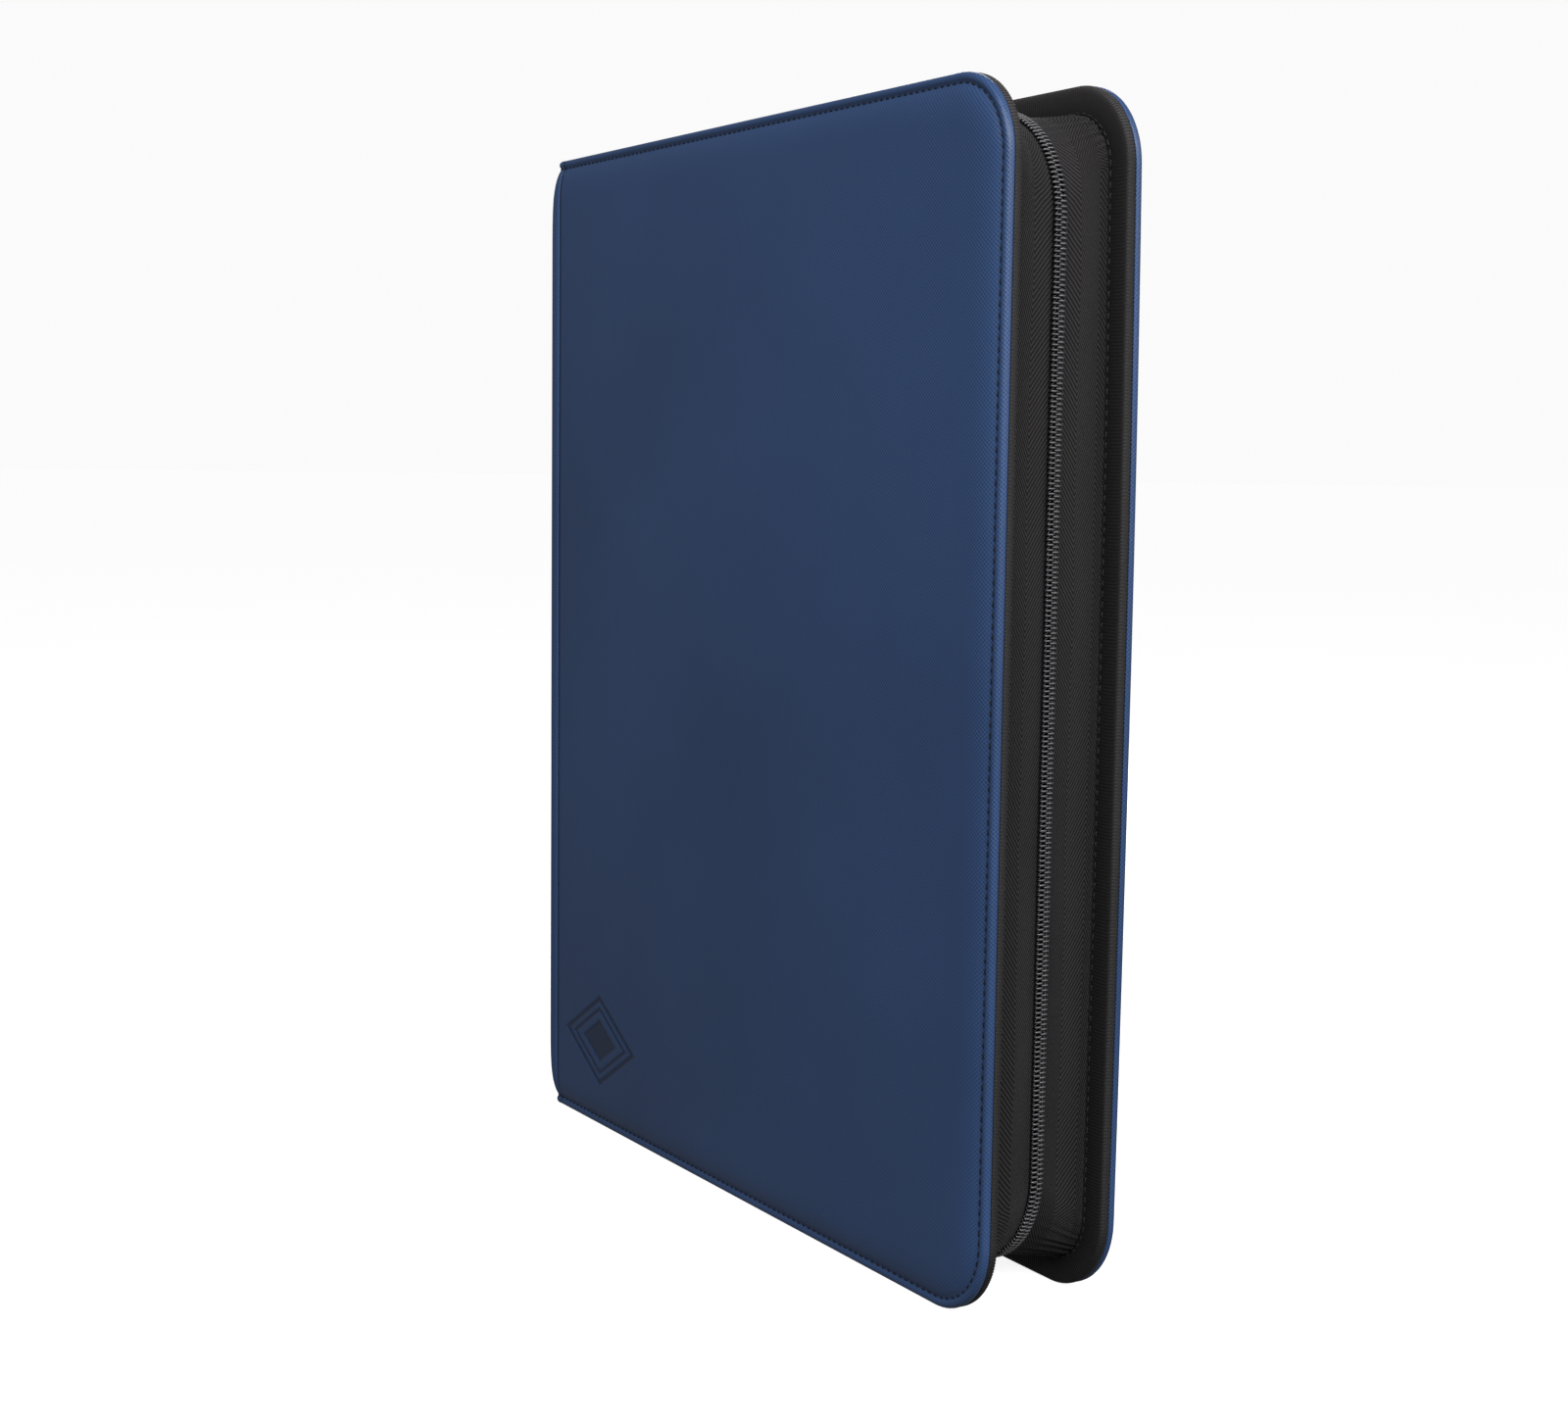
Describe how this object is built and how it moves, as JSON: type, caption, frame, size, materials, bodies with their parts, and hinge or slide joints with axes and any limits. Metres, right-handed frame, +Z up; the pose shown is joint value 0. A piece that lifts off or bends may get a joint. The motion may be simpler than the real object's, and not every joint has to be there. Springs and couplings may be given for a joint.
{
  "type": "trading card binder",
  "caption": "Zip-around binder with padded textured covers, a woven zip gusset with a slider, and hinged double-sided pocket pages for cards in rigid holders.",
  "frame": {"origin": "centre of the binder's footprint, on the surface it stands on, with the covers closed", "axes": "+X from the spine to the fore-edge, +Y from the front cover to the back cover, +Z up"},
  "size_m": [0.29, 0.051, 0.37],
  "materials": {
    "navy_leather": "embossed, satin",
    "padding_foam": "open cell",
    "board": "grey board, matte",
    "lining_fabric": "fine weave",
    "binding_tape": "ribbed",
    "zip_tape": "herringbone weave",
    "coil": "glossy nylon",
    "page_plastic": "fine grain",
    "clear_film": "clear, glossy",
    "slider_metal": "black enamel"
  },
  "bodies": {
    "spine": {"spine_skin": "navy_leather", "spine_foam": "padding_foam", "spine_board": "board", "spine_lining": "lining_fabric", "spine_edge_bindings": "binding_tape", "gusset_ends": "lining_fabric", "binding_base": "page_plastic", "front_hinge_strip": "navy_leather", "back_hinge_strip": "navy_leather", "page_1_leader": "page_plastic", "page_2_leader": "page_plastic", "page_3_leader": "page_plastic", "page_4_leader": "page_plastic", "page_5_leader": "page_plastic", "page_6_leader": "page_plastic", "page_7_leader": "page_plastic", "page_8_leader": "page_plastic"},
    "front_cover": {"front_skin": "navy_leather", "front_foam": "padding_foam", "front_board": "board", "front_lining": "lining_fabric", "front_edge_binding": "binding_tape", "front_zip_tape": "zip_tape", "front_zip_coil": "coil"},
    "back_cover": {"back_skin": "navy_leather", "back_foam": "padding_foam", "back_board": "board", "back_lining": "lining_fabric", "back_edge_binding": "binding_tape", "back_zip_tape": "zip_tape", "back_zip_coil": "coil"},
    "page_1": {"page_1_backing": "page_plastic", "page_1_front_pockets": "clear_film", "page_1_back_pockets": "clear_film"},
    "page_2": {"page_2_backing": "page_plastic", "page_2_front_pockets": "clear_film", "page_2_back_pockets": "clear_film"},
    "page_3": {"page_3_backing": "page_plastic", "page_3_front_pockets": "clear_film", "page_3_back_pockets": "clear_film"},
    "page_4": {"page_4_backing": "page_plastic", "page_4_front_pockets": "clear_film", "page_4_back_pockets": "clear_film"},
    "page_5": {"page_5_backing": "page_plastic", "page_5_front_pockets": "clear_film", "page_5_back_pockets": "clear_film"},
    "page_6": {"page_6_backing": "page_plastic", "page_6_front_pockets": "clear_film", "page_6_back_pockets": "clear_film"},
    "page_7": {"page_7_backing": "page_plastic", "page_7_front_pockets": "clear_film", "page_7_back_pockets": "clear_film"},
    "page_8": {"page_8_backing": "page_plastic", "page_8_front_pockets": "clear_film", "page_8_back_pockets": "clear_film"},
    "slider": {"slider_body": "slider_metal"},
    "puller": {"pull_tab": "slider_metal"}
  },
  "joints": [
    {"name": "front_cover_hinge", "type": "hinge", "parent": "spine", "child": "front_cover", "pos_m": [-0.1437, -0.0242, 0], "axis": [0, 0, -1], "range_deg": [0, 90], "deforming": ["front_hinge_strip"]},
    {"name": "back_cover_hinge", "type": "hinge", "parent": "spine", "child": "back_cover", "pos_m": [-0.1437, 0.0242, 0], "axis": [0, 0, 1], "range_deg": [0, 90], "deforming": ["back_hinge_strip"]},
    {"name": "page_1_hinge", "type": "hinge", "parent": "spine", "child": "page_1", "pos_m": [-0.1339, -0.0161, 0], "axis": [0, 0, -1], "range_deg": [0, 90], "deforming": ["page_1_leader"]},
    {"name": "page_2_hinge", "type": "hinge", "parent": "spine", "child": "page_2", "pos_m": [-0.1339, -0.0115, 0], "axis": [0, 0, -1], "range_deg": [0, 90], "deforming": ["page_2_leader"]},
    {"name": "page_3_hinge", "type": "hinge", "parent": "spine", "child": "page_3", "pos_m": [-0.1339, -0.0069, 0], "axis": [0, 0, -1], "range_deg": [0, 90], "deforming": ["page_3_leader"]},
    {"name": "page_4_hinge", "type": "hinge", "parent": "spine", "child": "page_4", "pos_m": [-0.1339, -0.0023, 0], "axis": [0, 0, -1], "range_deg": [0, 90], "deforming": ["page_4_leader"]},
    {"name": "page_5_hinge", "type": "hinge", "parent": "spine", "child": "page_5", "pos_m": [-0.1339, 0.0023, 0], "axis": [0, 0, 1], "range_deg": [0, 90], "deforming": ["page_5_leader"]},
    {"name": "page_6_hinge", "type": "hinge", "parent": "spine", "child": "page_6", "pos_m": [-0.1339, 0.0069, 0], "axis": [0, 0, 1], "range_deg": [0, 90], "deforming": ["page_6_leader"]},
    {"name": "page_7_hinge", "type": "hinge", "parent": "spine", "child": "page_7", "pos_m": [-0.1339, 0.0115, 0], "axis": [0, 0, 1], "range_deg": [0, 90], "deforming": ["page_7_leader"]},
    {"name": "page_8_hinge", "type": "hinge", "parent": "spine", "child": "page_8", "pos_m": [-0.1339, 0.0161, 0], "axis": [0, 0, 1], "range_deg": [0, 90], "deforming": ["page_8_leader"]},
    {"name": "slider_travel", "type": "slide", "parent": "back_cover", "child": "slider", "axis": [1, 0, 0], "range_m": [0, 0.205]},
    {"name": "puller_hinge", "type": "hinge", "parent": "slider", "child": "puller", "pos_m": [-0.108, 0, 0.3657], "axis": [0, -1, 0], "range_deg": [0, 180]}
  ],
  "couplings": [
    {"joint": "page_1_hinge", "follows": "front_cover_hinge", "ratio": 0.93},
    {"joint": "page_2_hinge", "follows": "front_cover_hinge", "ratio": 0.68},
    {"joint": "page_3_hinge", "follows": "front_cover_hinge", "ratio": 0.42},
    {"joint": "page_4_hinge", "follows": "front_cover_hinge", "ratio": 0.17},
    {"joint": "page_5_hinge", "follows": "back_cover_hinge", "ratio": 0.17},
    {"joint": "page_6_hinge", "follows": "back_cover_hinge", "ratio": 0.42},
    {"joint": "page_7_hinge", "follows": "back_cover_hinge", "ratio": 0.68},
    {"joint": "page_8_hinge", "follows": "back_cover_hinge", "ratio": 0.93}
  ]
}
